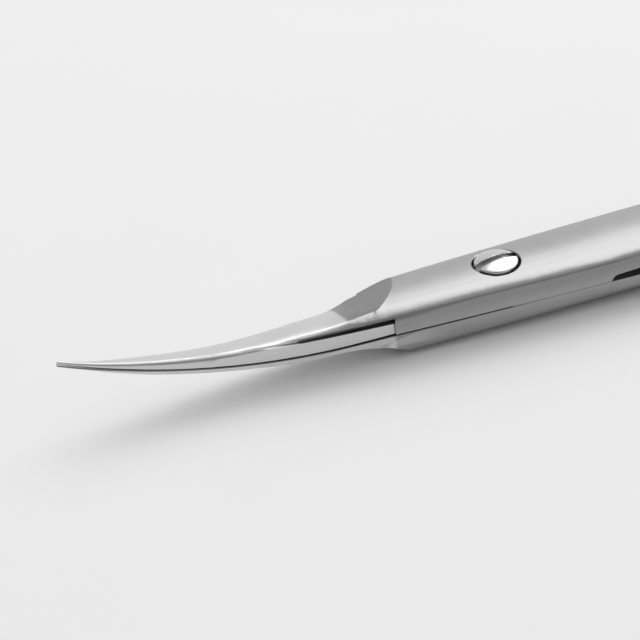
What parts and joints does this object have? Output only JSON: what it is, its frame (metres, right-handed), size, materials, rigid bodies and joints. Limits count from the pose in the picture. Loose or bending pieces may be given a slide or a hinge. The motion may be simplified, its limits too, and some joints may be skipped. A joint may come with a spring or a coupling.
{
  "type": "cuticle scissors",
  "caption": "Small steel cuticle scissors with slim blades that curve upwards, a lapped joint on a slotted pivot screw, and an oval finger ring on each shank.",
  "frame": {"origin": "on the pivot axis, at the underside that lies on the table", "axes": "+X along the closed scissors towards the finger rings, -X towards the tips, +Z along the pivot axis towards the screw head"},
  "size_m": [0.1098, 0.0548, 0.0064],
  "materials": {
    "satin_steel": "fine satin brushing over all faces, brighter ground facets along the blades",
    "polished_steel": "polished"
  },
  "bodies": {
    "lower": {"lower_half": "satin_steel"},
    "upper": {"upper_half": "satin_steel"},
    "screw": {"pivot_screw": "polished_steel"}
  },
  "joints": [
    {"name": "blade_pivot", "type": "hinge", "parent": "lower", "child": "upper", "pos_m": [0, 0, 0.0021], "axis": [0, 0, 1], "range_deg": [0, 80]},
    {"name": "screw_turn", "type": "hinge", "parent": "lower", "child": "screw", "pos_m": [0, 0, 0.0021], "axis": [0, 0, 1], "range_deg": [-15, 90]}
  ]
}
